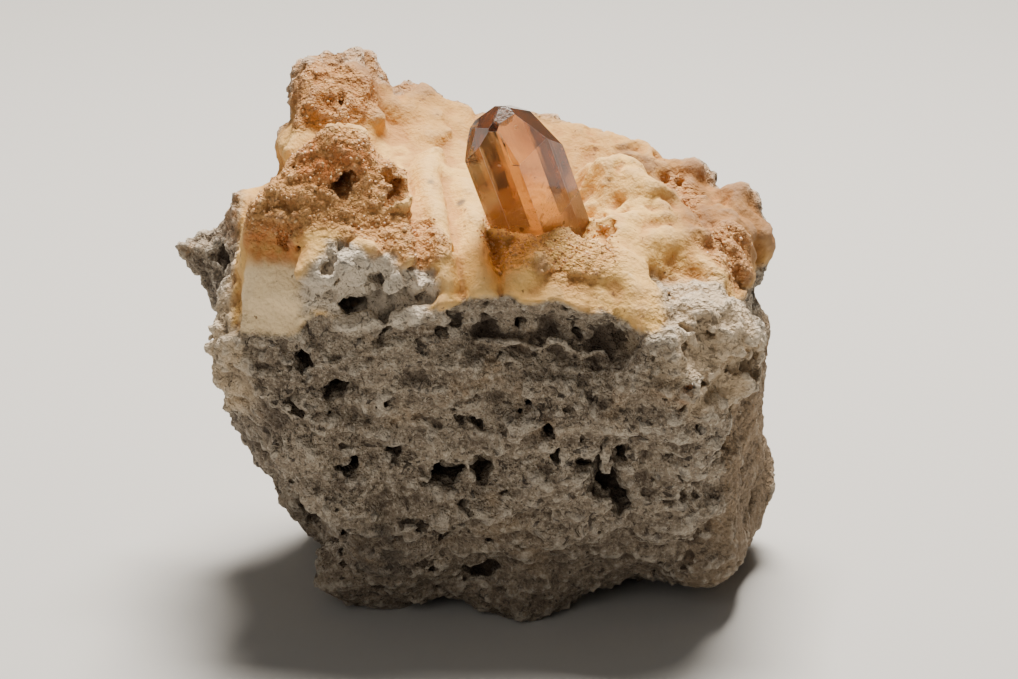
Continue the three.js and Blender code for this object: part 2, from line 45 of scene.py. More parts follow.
# ---------------------------------------------------------------- rhyolite matrix: the lump
# One lump of pale porous lava, broken off all round but on top, where the smooth lining of an
# opened gas cavity is left. It is worked in millimetres: the plain lump is rounded off, gets its
# crumbly relief, and is then eaten by gas holes, some placed one by one and the rest scattered.

VOXEL = 0.24  # mm, the grid the lump is worked on
FORM_VOXEL, LIP_VOXEL, DEPTH_VOXEL = 0.34, 0.25, 0.45  # mm, for the plainer shapes
FACES = 190000  # triangles left in the finished lump


class Wire:
    """A value in a node tree. Arithmetic with it adds the nodes that do the sum."""

    def __init__(self, socket):
        self.socket = socket
        self.tree = socket.id_data

    def math(self, operation, *others, clamp=False):
        inputs = dict(enumerate([self, *others]))
        return node(self.tree, "ShaderNodeMath", inputs, operation=operation, use_clamp=clamp)

    def vector(self, operation, other=None, output=0):
        inputs = {0: self} if other is None else {0: self, 1: other}
        return node(self.tree, "ShaderNodeVectorMath", inputs, output, operation=operation)

    def __add__(self, other):
        return self.math("ADD", other)

    def __sub__(self, other):
        return self.math("SUBTRACT", other)

    def __mul__(self, other):
        return self.math("MULTIPLY", other)

    def __truediv__(self, other):
        return self.math("DIVIDE", other)

    def __neg__(self):
        return self.math("MULTIPLY", -1.0)

    __radd__ = __add__
    __rmul__ = __mul__

    def __rsub__(self, other):
        return -self + other

    def other(self, name):
        """Another output of the same node."""
        return Wire(self.socket.node.outputs[name])

    def axes(self):
        """The x, y and z of a vector."""
        split = self.tree.nodes.new("ShaderNodeSeparateXYZ")
        self.tree.links.new(self.socket, split.inputs[0])
        return [Wire(output) for output in split.outputs]

    def ramp(self, low, high):
        """Rises smoothly from 0 at `low` to 1 at `high`, or falls where `high` is the lower."""
        inputs = {"Value": self, "From Min": low, "From Max": high}
        if low > high:
            inputs = {"Value": -self, "From Min": -low, "From Max": -high}
        return node(self.tree, "ShaderNodeMapRange", inputs, interpolation_type="SMOOTHSTEP")


def node(tree, kind, inputs=(), output=0, **settings):
    """Adds a node, sets it up, feeds its inputs with wires or plain values, gives an output."""
    made = tree.nodes.new(kind)
    for name, value in settings.items():
        setattr(made, name, value)
    for key, value in dict(inputs).items():
        if isinstance(value, Wire):
            tree.links.new(value.socket, made.inputs[key])
        else:
            made.inputs[key].default_value = value
    return Wire(made.outputs[output])


def clouds(p, size, seed, detail=2.0, stretch=(1, 1, 1)):
    """Cloudy noise of about -1 to 1. Its lumps are `size` across, longer by `stretch`."""
    scale = [1 / (size * s) for s in stretch]
    moved = p.vector("MULTIPLY", scale).vector("ADD", (seed * 7.31, seed * 3.17, seed * 5.43))
    inputs = {"Vector": moved, "Scale": 1.0, "Detail": detail, "Roughness": 0.55}
    return node(p.tree, "ShaderNodeTexNoise", inputs) * 2.0 - 1.0


def cells(p, size, seed, output="Distance", feature="F1", stretch=(1, 1, 1)):
    """Round cells `size` apart: the distance from their middles, or their chance values."""
    scale = [1 / (size * s) for s in stretch]
    moved = p.vector("MULTIPLY", scale).vector("ADD", (seed * 4.3, seed * 9.1, seed * 6.7))
    inputs = {"Vector": moved, "Scale": 1.0}
    return node(p.tree, "ShaderNodeTexVoronoi", inputs, output, feature=feature)


def swirl(p, size, seed, amount):
    """p pushed about by up to `amount`, in eddies `size` across."""
    moved = p.vector("ADD", (seed * 5.1, seed * 2.7, seed * 8.3))
    inputs = {"Vector": moved, "Scale": 1 / size, "Detail": 1.0}
    push = node(p.tree, "ShaderNodeTexNoise", inputs, 1).vector("SUBTRACT", (0.5, 0.5, 0.5))
    return p.vector("ADD", push.vector("MULTIPLY", (2 * amount,) * 3))


def patch(p, centre, size, soft=0.35):
    """1 inside an ellipsoid, fading to 0 across its rim."""
    inside = p.vector("SUBTRACT", centre).vector("DIVIDE", size).vector("LENGTH", output="Value")
    return inside.ramp(1 + soft, 1 - soft)


def stroke(p, start, end, wide):
    """1 along the line from start to end, fading to 0 at `wide` from it."""
    line = Vector(end) - Vector(start)
    from_start = p.vector("SUBTRACT", start)
    along = from_start.vector("DOT_PRODUCT", line / line.length_squared, "Value")
    inputs = {"Value": along, "Min": 0.0, "Max": 1.0}
    nearest = node(p.tree, "ShaderNodeClamp", inputs)
    scaled_line = node(p.tree, "ShaderNodeCombineXYZ", {0: nearest * line[0], 1: nearest * line[1],
                                                        2: nearest * line[2]})
    away = from_start.vector("SUBTRACT", scaled_line).vector("LENGTH", output="Value")
    return away.ramp(wide, 0.0)


def either(*masks):
    """The stronger of some masks."""
    strongest = masks[0]
    for mask in masks[1:]:
        strongest = strongest.math("MAXIMUM", mask)
    return strongest


def profile(x, points):
    """A height drawn over x, as [x, height] points."""
    low, high = points[0][0], points[-1][0]
    heights = [z for _, z in points]
    curve = x.tree.nodes.new("ShaderNodeFloatCurve")
    drawn = curve.mapping.curves[0].points
    for _ in points[2:]:
        drawn.new(0.5, 0.5)
    for spot, (along, height) in zip(drawn, points):
        share = (height - min(heights)) / (max(heights) - min(heights))
        spot.location = ((along - low) / (high - low), share)
        spot.handle_type = "AUTO"
    curve.mapping.update()
    x.tree.links.new(((x - low) * (1 / (high - low))).socket, curve.inputs["Value"])
    return Wire(curve.outputs[0]) * (max(heights) - min(heights)) + min(heights)


# the sharp lip between the lining and the broken front, as [x, z] where it meets the front
LIP = [(-24, 29.0), (-16.4, 28.8), (-14.8, 29.5), (-13.4, 31.0), (-9, 31.2), (-6, 31.6),
       (-3.6, 32.0), (-2.4, 32.1), (-1.0, 32.5), (0.35, 33.0), (3.3, 33.05), (4.3, 32.4),
       (5.2, 32.3), (6.4, 32.7), (7.4, 32.6), (8.2, 32.2), (9.2, 31.7), (10.2, 31.5),
       (11.0, 31.7), (12.2, 31.2), (13.4, 30.7), (14.7, 30.1), (17, 31.0), (21, 32.6),
       (27, 32.3)]
BACK_RIM = [(-24, 5), (-10, 8), (-5, 12.3), (12, 13), (17, 11), (21, 9), (27, 5)]  # as [x, y]


def regions(p):
    """Where the lump is broken rock, sugary, crusted whitish, the pale bulge, the smooth flank."""
    x, y, z = p.axes()
    p = swirl(swirl(p, 4.0, 21, 1.6), 1.2, 22, 0.6)
    above_lip = either((z - profile(x, LIP)).ramp(-0.2, 0.15), y.ramp(-14.2, -12.8))
    before_rim = (y - profile(x, BACK_RIM)).ramp(2.0, 0.5)
    bulge = either(
        patch(p, (-10.4, -17.0, 33.6), (4.8, 5.0, 3.9), 0.12),
        patch(p, (-6.2, -17.0, 32.9), (3.6, 4.4, 2.4), 0.12),
    )
    left_side = x.ramp(-20.6, -21.6)
    right_side = (x + (y + 16) * 0.35).ramp(15.5, 17.5) * y.ramp(-8.5, -10.5) * z.ramp(33.5, 32)
    low = z.ramp(28.9, 28.2)
    broken = either(1 - above_lip, 1 - before_rim, bulge, left_side, right_side, low)
    sugar = either(
        patch(p, (-13.8, -11.2, 41.2), (8.6, 4.6, 6.0), 0.15),
        patch(p, (-7.0, -14.0, 36.6), (5.0, 3.6, 3.2), 0.15),
        patch(p, (22.2, -3.2, 31.8), (3.6, 4.6, 3.2), 0.3),
        patch(p, (18.6, 6.0, 34.4), (2.0, 5.0, 2.0), 0.3),
        patch(p, (-13.5, 5.0, 44.6), (5.5, 4.0, 3.6), 0.15),
        patch(p, (7.4, -12.8, 34.8), (5.6, 3.4, 2.6), 0.3),
    )
    crust = either(
        patch(p, (19.5, -12.5, 27.0), (7.0, 7.0, 6.4), 0.25),
        patch(p, (-22.0, -11.0, 25.0), (3.4, 6.0, 7.0), 0.25),
    )
    flank = x.ramp(17.5, 20) * y.ramp(-13.5, -11.5) * z.ramp(25, 22)
    return broken, sugar * (1 - bulge), crust, bulge, flank


def new_tree(name, **sockets):
    """A Geometry Nodes tree with a Geometry input and output and more named inputs."""
    tree = bpy.data.node_groups.new(name, "GeometryNodeTree")
    tree.interface.new_socket("Geometry", in_out="OUTPUT", socket_type="NodeSocketGeometry")
    for label, kind in {"Geometry": "Geometry", **sockets}.items():
        tree.interface.new_socket(label, in_out="INPUT", socket_type=f"NodeSocket{kind}")
    start = tree.nodes.new("NodeGroupInput")
    return tree, {output.name: Wire(output) for output in start.outputs if output.name}


def end_tree(tree, geometry, material):
    """Ends a tree with Realize Instances and Set Material."""
    real = node(tree, "GeometryNodeRealizeInstances", {"Geometry": geometry})
    done = node(tree, "GeometryNodeSetMaterial", {"Geometry": real, "Material": material})
    tree.links.new(done.socket, tree.nodes.new("NodeGroupOutput").inputs[0])


def run_tree(source, tree, name, **values):
    """The plain mesh that a tree makes from an object, as a new object."""
    modifier = source.modifiers.new(tree.name, "NODES")
    modifier.node_group = tree
    for item in tree.interface.items_tree:
        if item.in_out == "INPUT" and item.name in values:
            modifier[item.identifier] = values[item.name]
    graph = bpy.context.evaluated_depsgraph_get()
    mesh = bpy.data.meshes.new_from_object(source.evaluated_get(graph))
    source.modifiers.remove(modifier)
    return new_object(name, mesh)


def new_object(name, mesh):
    """A mesh linked into the scene as an object of the same name."""
    mesh.name = name
    made = bpy.data.objects.new(name, mesh)
    scene.collection.objects.link(made)
    return made


def form_of(cad_node):
    """A merged copy of a CAD node in millimetres, as a bmesh to work from."""
    work = bmesh.new()
    work.from_mesh(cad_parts[cad_node].data)
    bmesh.ops.remove_doubles(work, verts=work.verts, dist=1e-6)
    bmesh.ops.scale(work, vec=(1 / MM,) * 3, verts=work.verts)
    return work


def helper(name, work):
    """A bmesh turned into an object to build from. It is removed when the work is done."""
    bmesh.ops.recalc_face_normals(work, faces=work.faces)
    mesh = bpy.data.meshes.new(name)
    work.to_mesh(mesh)
    work.free()
    return new_object(name, mesh)


def solid_grid(tree, mesh, voxel, band=3):
    """A mesh as a grid of signed distances."""
    inputs = {"Mesh": mesh, "Voxel Size": voxel, "Band Width": band}
    return node(tree, "GeometryNodeMeshToSDFGrid", inputs)


def skin_of(tree, grid):
    """The mesh of a grid's surface."""
    return node(tree, "GeometryNodeGridToMesh", {"Grid": grid})


def place(tree):
    """Where each point is."""
    return node(tree, "GeometryNodeInputPosition")


def moved_to(tree, geometry, position):
    """A geometry with its points put at other places."""
    return node(tree, "GeometryNodeSetPosition", {"Geometry": geometry, "Position": position})


def raised(tree, geometry, height):
    """Geometry pushed out along its normals."""
    offset = node(tree, "GeometryNodeInputNormal").vector("MULTIPLY", height)
    return node(tree, "GeometryNodeSetPosition", {"Geometry": geometry, "Offset": offset})


def scaled_by(tree, geometry, factor):
    """A geometry grown about the origin."""
    return node(tree, "GeometryNodeTransform", {"Geometry": geometry, "Scale": (factor,) * 3})


def smoothed(tree, geometry, rounds):
    """A mesh with its points drawn towards their neighbours."""
    inputs = {"Value": place(tree), "Iterations": rounds}
    calm = node(tree, "GeometryNodeBlurAttribute", inputs, data_type="FLOAT_VECTOR")
    return moved_to(tree, geometry, calm)


def above_floor(tree, geometry):
    """Geometry with whatever is below the resting plane pressed flat on to it."""
    x, y, z = place(tree).axes()
    flat = node(tree, "ShaderNodeCombineXYZ", {0: x, 1: y, 2: z.math("MAXIMUM", 0.0)})
    return moved_to(tree, geometry, flat)


def chance(tree, low, high, seed):
    """A chance value, or vector, for each point or instance."""
    if isinstance(low, tuple):
        inputs = {0: low, 1: high, 8: seed}
        return node(tree, "FunctionNodeRandomValue", inputs, 0, data_type="FLOAT_VECTOR")
    return node(tree, "FunctionNodeRandomValue", {2: low, 3: high, 8: seed}, 1)


def scattered(tree, surface, density, small, large, seed, facets):
    """Gas bubbles of `small` to `large` radius let into a surface, `density` to a mm²."""
    inputs = {"Mesh": surface, "Density": density, "Seed": seed}
    spots = node(tree, "GeometryNodeDistributePointsOnFaces", inputs)
    radius = chance(tree, 0.0, 1.0, seed).math("POWER", 2.0) * (large - small) + small
    sink = spots.other("Normal").vector("MULTIPLY", radius * chance(tree, -0.7, -0.1, seed + 1))
    spots = node(tree, "GeometryNodeSetPosition", {"Geometry": spots, "Offset": sink})
    ball = node(tree, "GeometryNodeMeshIcoSphere", {"Radius": 1.0, "Subdivisions": facets})
    inputs = {
        "Points": spots,
        "Instance": ball,
        "Rotation": chance(tree, (0.0, -0.5, 0.0), (0.4, 0.5, 6.28), seed + 2),
        "Scale": chance(tree, (0.8, 0.8, 0.6), (1.5, 1.5, 1.0), seed + 3).vector(
            "MULTIPLY", radius),
    }
    return node(tree, "GeometryNodeInstanceOnPoints", inputs)


def joined(tree, *parts):
    """Several geometries as one."""
    join = tree.nodes.new("GeometryNodeJoinGeometry")
    for part in reversed(parts):
        tree.links.new(part.socket, join.inputs[0])
    return Wire(join.outputs[0])


def carved(tree, grid, *cutters):
    """A solid grid less some others."""
    cut = tree.nodes.new("GeometryNodeSDFGridBoolean")
    cut.operation = "DIFFERENCE"
    tree.links.new(grid.socket, cut.inputs["Grid 1"])
    for cutter in cutters:
        tree.links.new(cutter.socket, cut.inputs["Grid 2"])
    return Wire(cut.outputs[0])


def object_mesh(tree, object_input):
    """The mesh of the object given to an input."""
    return node(tree, "GeometryNodeObjectInfo", {"Object": object_input}, "Geometry")


# the crystal's foot: where its front edge leaves the mound, and the direction it grows in
FOOT = Vector((5.98, -11.43, 36.6))
AXIS = Vector((-0.25, -0.456, 0.853)).normalized()
MOUND = Vector((0.155, 0.2, 0.95)).normalized()  # square to the mound's slope under the crystal


def crystal_part(below, keep_upper, grow):
    """The crystal cut off `below` mm under the mound, and grown by `grow` mm."""
    work = form_of("topaz_crystal")
    for vert in work.verts:
        if (vert.co - FOOT).dot(AXIS) < -2.0:
            vert.co -= AXIS * 4
    middle = sum((vert.co for vert in work.verts), Vector()) / len(work.verts)
    for vert in work.verts:
        out = vert.co - middle
        out -= AXIS * out.dot(AXIS)
        vert.co += out.normalized() * grow
    geometry = work.verts[:] + work.edges[:] + work.faces[:]
    side = {"clear_outer": not keep_upper, "clear_inner": keep_upper}
    bmesh.ops.bisect_plane(work, geom=geometry, plane_co=FOOT - MOUND * below, plane_no=MOUND, **side)
    bmesh.ops.holes_fill(work, edges=[edge for edge in work.edges if edge.is_boundary])
    return helper("crystal_part", work)


# what is packed back round the crystal's root, and the room that the crystal then takes up
root_filler = crystal_part(0.4, False, 0.6)
socket_cutter = crystal_part(1.5, True, -0.1)

lump_form = form_of("rhyolite_matrix")
lump_faces = BVHTree.FromBMesh(lump_form)


def height_at(points, x):
    """A drawn height, straight between its points."""
    for (x0, z0), (x1, z1) in zip(points, points[1:]):
        if x0 <= x <= x1:
            return z0 + (z1 - z0) * (x - x0) / (x1 - x0)
    return points[-1][1]


# a wedge that squares off the lump's worn edge into a sharp lip, undercut in front
WEDGE_LEFT, WEDGE_STEP, WEDGE_STEPS = -6.2, 0.4, 53
lip_wedge = bmesh.new()
rings = []
for step in range(WEDGE_STEPS):
    x = WEDGE_LEFT + WEDGE_STEP * step
    z = height_at(LIP, x)
    floor_hit = lump_faces.ray_cast(Vector((x, -13.2, 60)), Vector((0, 0, -1)))[0]
    section = [(-17.3, z), (-13.2, floor_hit.z - 0.25), (-13.2, z - 5), (-16.8, z - 5), (-17.1, z - 1.5)]
    rings.append([lip_wedge.verts.new((x, y, height)) for y, height in section])
for one, two in zip(rings, rings[1:]):
    for i in range(5):
        lip_wedge.faces.new((one[i], one[i - 4], two[i - 4], two[i]))
lip_wedge.faces.new(rings[0])
lip_wedge.faces.new(rings[-1])
lip_wedge = helper("lip_wedge", lip_wedge)

# the gas holes that catch the eye on the front, as x, z, width, height, depth and tilt
HOLES = [
    (10.6, 17.2, 2.0, 2.0, 2.6, 0), (11.8, 15.2, 2.4, 2.6, 3.2, 30), (12.9, 13.4, 1.7, 1.9, 2.6, 30),
    (13.1, 18.1, 1.6, 1.4, 2.4, 0), (-2.3, 15.9, 3.5, 1.7, 2.8, 6), (0.7, 16.3, 1.7, 2.4, 2.0, 0),
    (2.2, 5.9, 2.0, 1.2, 2.0, -8), (4.5, 22.9, 1.3, 1.2, 2.0, 0), (-12.3, 23.9, 2.3, 1.2, 2.2, 22),
    (-14.6, 26.7, 2.0, 1.6, 2.0, 0), (-17.2, 26.3, 1.5, 1.1, 1.6, 10), (-10.3, 31.6, 2.2, 1.5, 2.2, 25),
    (-10.9, 16.9, 2.6, 1.4, 2.2, -12), (-1.4, 21.8, 0.9, 1.6, 1.5, 10), (0.6, 21.1, 0.9, 1.1, 1.4, 0),
    (7.3, 18.7, 1.6, 1.2, 1.6, 0), (9.1, 29.4, 1.4, 1.6, 2.2, 0), (4.2, 29.7, 1.3, 1.5, 1.8, 0),
    (2.3, 29.7, 0.7, 0.7, 1.0, 0), (6.5, 20.9, 1.4, 1.9, 1.6, 0), (12.9, 28.9, 2.7, 1.0, 1.8, -32),
    (18.2, 24.5, 0.8, 0.7, 1.2, 0), (18.8, 21.5, 0.7, 1.1, 1.0, 10), (22.7, 26.1, 1.6, 2.1, 2.0, 0),
    (24.4, 27.1, 1.2, 1.1, 1.5, 0), (17.8, 28.6, 2.1, 1.2, 1.6, 0), (20.2, 25.0, 1.0, 1.5, 1.2, 30),
    (17.2, 17.9, 0.8, 0.7, 1.2, 0), (18.6, 15.8, 1.1, 0.8, 1.2, 0), (19.8, 14.1, 1.1, 0.8, 1.2, 0),
    (21.5, 13.0, 0.8, 0.9, 1.2, 0), (17.3, 13.7, 1.3, 0.8, 1.5, -10), (15.2, 14.1, 0.8, 0.8, 1.0, 0),
    (11.2, 10.6, 0.9, 0.7, 0.9, 0), (13.1, 10.6, 0.9, 0.7, 0.9, 0), (-10.9, 41.7, 1.8, 1.9, 2.2, -35),
    (-6.2, 39.1, 0.9, 1.1, 1.4, 0), (-7.4, 40.2, 1.1, 0.9, 1.2, 0), (-17.5, 40.0, 1.3, 1.4, 1.4, 0),
    (-16.4, 37.4, 1.2, 1.2, 1.2, 0), (-14.9, 36.4, 0.8, 0.8, 1.0, 0), (-7.1, 18.7, 2.4, 0.8, 1.4, 0),
    (3.3, 14.7, 0.8, 0.8, 1.0, 0), (-4.7, 6.9, 1.1, 0.9, 1.3, 0), (-10.4, 10.7, 0.9, 0.8, 1.0, 0),
    (-4.5, 11.0, 1.2, 1.5, 1.4, 0), (-6.2, 11.4, 0.9, 1.0, 1.2, 0), (-2.7, 9.6, 1.0, 1.0, 1.2, 0),
    (-0.5, 10.7, 0.9, 0.7, 1.0, 0), (-8.0, 14.1, 0.8, 0.8, 1.0, 0), (-10.6, 13.6, 0.9, 0.8, 1.0, 0),
    (4.0, 8.3, 0.8, 0.8, 1.0, 0), (-6.6, 7.2, 0.8, 0.8, 1.0, 0), (1.2, 12.2, 1.0, 0.9, 1.1, 0),
    (-7.9, 34.3, 1.5, 1.6, 1.8, 20), (-6.2, 33.3, 1.2, 1.6, 1.6, -15), (-8.7, 32.2, 1.7, 0.9, 1.6, 12),
    (-9.4, 35.6, 0.8, 0.8, 1.0, 0), (-5.0, 32.7, 0.9, 0.8, 1.0, 0), (-12.4, 35.0, 0.6, 0.6, 0.8, 0),
]
placed_holes = bmesh.new()
for x, z, wide, tall, deep, tilt in HOLES:
    spot = lump_faces.ray_cast(Vector((x, -40, z)), Vector((0, 1, 0)))[0]
    turn = Matrix.Rotation(radians(-tilt), 4, "Y")
    size = Matrix.Diagonal((wide * 0.56, deep, tall * 0.56, 1))
    shape = Matrix.Translation(spot + Vector((0, 0.1 * deep, 0))) @ turn @ size
    bmesh.ops.create_icosphere(placed_holes, subdivisions=4, radius=1.0, matrix=shape)
for middle, size in (((10.2, -8.9, 36.5), (2.0, 2.4, 2.2)), ((12.0, -7.8, 35.6), (0.7, 1.4, 1.0))):
    shape = Matrix.Translation(middle) @ Matrix.Diagonal((*size, 1))
    bmesh.ops.create_icosphere(placed_holes, subdivisions=4, radius=1.0, matrix=shape)
placed_holes = helper("placed_holes", placed_holes)
plain_lump = helper("plain_lump", lump_form)

rhyolite = bpy.data.materials.new("rhyolite")

tree, given = new_tree(
    "porous rhyolite", Lip="Object", Filler="Object", Cutter="Object", Holes="Object",
    Voxel="Float", Crumbs="Float", Grain="Float", Seed="Int")
voxel, seed = given["Voxel"], given["Seed"]

# the plain lump with its facets rounded off, the sharp lip, and the filled-in socket
lump = smoothed(tree, skin_of(tree, solid_grid(tree, given["Geometry"], FORM_VOXEL)), 4)
lip = skin_of(tree, solid_grid(tree, object_mesh(tree, given["Lip"]), LIP_VOXEL))
filler = skin_of(tree, solid_grid(tree, object_mesh(tree, given["Filler"]), LIP_VOXEL))

# crumbly, banded fracture; ribs running down the lining; sugary and knobbly crusts
p = place(tree)
x, y, z = p.axes()
broken, sugar, crust, bulge, flank = regions(p)
bent = swirl(p, 2.5, 1, 0.6)
flow = clouds(bent, 2.6, 4, 2.0, stretch=(2.6, 2.6, 0.7))
crumbs = clouds(bent, 0.95, 5, 3.0) * given["Crumbs"]
lumps = clouds(p, 4.5, 8, 1.0)
creases = clouds(bent, 2.0, 10, 2.0).math("ABSOLUTE")
relief = broken * (1 - flank * 0.55) * (flow * 0.9 + crumbs + lumps * 1.7 + (creases - 0.2) * 0.8)
ribs = ((x + (y + 17.5) * 0.12 + 2.4) * (pi / 3.4)).math("COSINE").math("ABSOLUTE")
ribbed = x.ramp(-7, -5) * x.ramp(3.4, 2.2) * y.ramp(4, -6) * z.ramp(31, 32.5)
relief = relief + (ribs - 0.55) * 1.8 * ribbed * (1 - broken)
folds = clouds(swirl(p, 5, 15, 1.5), 2.4, 16, 1.0, stretch=(1, 1, 3.5)).math("ABSOLUTE")
folded = either(x.ramp(7, 10) * y.ramp(-8, -5), x.ramp(-5, -7) * y.ramp(-8, -4) * 0.5)
relief = relief + (0.25 - folds) * 2.2 * folded * (1 - broken)
rim_knobs = cells(swirl(p, 3, 17, 1.0), 3.2, 18, feature="SMOOTH_F1")
rim = either(x.ramp(15, 19) * z.ramp(26, 30), z.ramp(37, 40) * y.ramp(0, 3)) * y.ramp(-7, -3)
relief = relief + (0.45 - rim_knobs) * 2.2 * rim
knobs = cells(swirl(p, 2, 6, 0.5), 2.2, 6, feature="SMOOTH_F1")
relief = relief + (0.42 - knobs) * 1.7 * either(crust, bulge * 0.8)
grains = cells(p, 0.8, 7)
relief = relief + (0.45 - grains) * 0.55 * sugar
relief = relief + (1 - broken) * clouds(p, 2.8, 9, 1.0) * 0.6
relief = relief - x.ramp(-14, -19) * 0.9
# ledges and hollows on the front: the line they run along, their reach and height
for start, end, wide, height in (
    ((10.4, -17.5, 22.4), (19.6, -17.5, 21.4), 1.3, 0.9),
    ((10.4, -17.5, 20.4), (18.6, -17.5, 19.4), 1.5, -0.8),
    ((1.5, -18.0, 29.2), (11.8, -18.0, 29.2), 3.4, -2.2),
    ((-11.5, -17.0, 30.4), (-2.5, -17.4, 31.4), 1.3, 1.3),
    ((-13.4, -16.2, 35.0), (-9.0, -16.8, 36.4), 2.3, 1.5),
    ((-13.0, -17.2, 32.6), (-10.0, -17.2, 32.9), 1.1, -1.0),
    ((-20.3, -15.0, 36.0), (-20.1, -15.4, 28.8), 0.7, -0.6),
    ((5.7, -14.7, 35.4), (6.0, -14.9, 34.6), 1.0, 0.9),
    ((-9.5, -17.0, 32.6), (-4.0, -17.0, 32.8), 1.6, -1.2),
    ((-19.0, -16.0, 23.2), (-9.0, -17.0, 20.4), 0.9, 0.6),
    ((-18.0, -16.0, 21.4), (-9.0, -17.0, 18.8), 0.8, -0.5),
    ((-10.0, -16.0, 9.0), (0.0, -16.0, 4.5), 1.6, -0.7),
):
    relief = relief + stroke(p, start, end, wide) * height
solid = raised(tree, joined(tree, lump, lip, filler), relief)
solid = solid_grid(tree, above_floor(tree, solid), voxel)

# gas holes: three sizes scattered, most in the broken rock, and small ones that make the rims of
# the placed holes ragged
open_rock = either(broken, sugar * 0.5, crust * 0.8) * (1 - flank * 0.8)
front = y.ramp(-11.5, -13.0) * x.ramp(-19, -17) * x.ramp(24, 22)
gas = joined(
    tree,
    scattered(tree, lump, open_rock * (1 - front * 0.85) * 0.012, 0.8, 1.9, seed + 10, 4),
    scattered(tree, lump, open_rock * 0.09 + bulge * 0.12, 0.42, 0.85, seed + 20, 3),
    scattered(tree, lump, open_rock * 0.5, 0.24, 0.48, seed + 30, 2),
    scattered(tree, object_mesh(tree, given["Holes"]), 0.22, 0.25, 0.65, seed + 40, 2),
)
gas = node(tree, "GeometryNodeRealizeInstances", {"Geometry": gas})
gas = joined(tree, gas, object_mesh(tree, given["Holes"]))
gas = moved_to(tree, gas, swirl(swirl(place(tree), 1.8, 12, 1.6), 0.7, 13, 1.0))
gas = solid_grid(tree, gas, voxel)
socket = solid_grid(tree, object_mesh(tree, given["Cutter"]), voxel)
skin = skin_of(tree, carved(tree, solid, gas, socket))

# the finest grain that still casts a shadow
p = place(tree)
broken, sugar, crust, bulge, flank = regions(p)
fine = clouds(p, 0.55, 14, 2.0) * (either(broken, sugar, crust) * 0.7 + 0.3)
skin = raised(tree, skin, fine * given["Grain"])
end_tree(tree, scaled_by(tree, above_floor(tree, skin), MM), rhyolite)

rock = run_tree(plain_lump, tree, "rhyolite_lump", Lip=lip_wedge, Filler=root_filler,
                Cutter=socket_cutter, Holes=placed_holes, Voxel=VOXEL, Crumbs=0.95, Grain=0.36, Seed=1)


def largest_piece(mesh):
    """Drops the loose crumbs that float free of the lump."""
    work = bmesh.new()
    work.from_mesh(mesh)
    left = set(work.verts)
    islands = []
    while left:
        island, edge = set(), [left.pop()]
        while edge:
            vert = edge.pop()
            island.add(vert)
            for link in vert.link_edges:
                other = link.other_vert(vert)
                if other in left:
                    left.discard(other)
                    edge.append(other)
        islands.append(island)
    islands.sort(key=len, reverse=True)
    stray = [vert for island in islands[1:] for vert in island]
    bmesh.ops.delete(work, geom=stray, context="VERTS")
    work.to_mesh(mesh)
    work.free()


largest_piece(rock.data)

thin = rock.modifiers.new("thin", "DECIMATE")
thin.ratio = min(1.0, FACES / (2 * len(rock.data.polygons)))
graph = bpy.context.evaluated_depsgraph_get()
rock_mesh = bpy.data.meshes.new_from_object(rock.evaluated_get(graph))
rock.modifiers.clear()
rock.data = rock_mesh

# what the colours need to know at each point, kept on the mesh
tree, given = new_tree("rhyolite regions", Form="Object")
p = place(tree).vector("MULTIPLY", (1 / MM,) * 3)
x, y, z = p.axes()
broken, sugar, crust, bulge, flank = regions(p)
form = solid_grid(tree, object_mesh(tree, given["Form"]), DEPTH_VOXEL, 8)
deep = -node(tree, "GeometryNodeSampleGrid", {"Grid": form, "Position": p})
inputs = {"Value": place(tree), "Iterations": 6}
calm = node(tree, "GeometryNodeBlurAttribute", inputs, data_type="FLOAT_VECTOR")
stands_out = (place(tree).vector("SUBTRACT", calm)).vector(
    "DOT_PRODUCT", node(tree, "GeometryNodeInputNormal"), "Value") * (1 / MM)
painted = given["Geometry"]
for name, value in {"broken": broken, "sugar": sugar, "crust": crust, "bulge": bulge,
                    "flank": flank, "deep": deep, "edge": stands_out}.items():
    inputs = {"Geometry": painted, "Name": name, "Value": value}
    painted = node(tree, "GeometryNodeStoreNamedAttribute", inputs)
end_tree(tree, painted, rhyolite)
bare = rock
rock = run_tree(bare, tree, "rhyolite_lump", Form=plain_lump)
for spare in (bare, plain_lump, lip_wedge, root_filler, socket_cutter, placed_holes):
    bpy.data.objects.remove(spare)
rock.name = rock.data.name = "rhyolite_lump"
rock.data.shade_smooth()


def srgb(*channels):
    """A colour given as 0-255 screen values, as the shader wants it."""
    shares = [c / 255 for c in channels]
    return tuple(((c + 0.055) / 1.055) ** 2.4 for c in shares) + (1,)


def mixed(tree, share, one, two):
    """Two colours mixed: `share` of the second."""
    inputs = {0: share, 6: one, 7: two}
    return node(tree, "ShaderNodeMix", inputs, 2, data_type="RGBA")


def kept(tree, name):
    """A value kept on the mesh."""
    return node(tree, "ShaderNodeAttribute", {}, "Fac", attribute_name=name)


rhyolite.use_nodes = True
tree = rhyolite.node_tree
shader = tree.nodes["Principled BSDF"]
p = node(tree, "ShaderNodeTexCoord", {}, "Object").vector("MULTIPLY", (1 / MM,) * 3)
x, y, z = p.axes()
broken, sugar, crust = (kept(tree, name) for name in ("broken", "sugar", "crust"))
bulge, flank, deep, edge = (kept(tree, name) for name in ("bulge", "flank", "deep", "edge"))

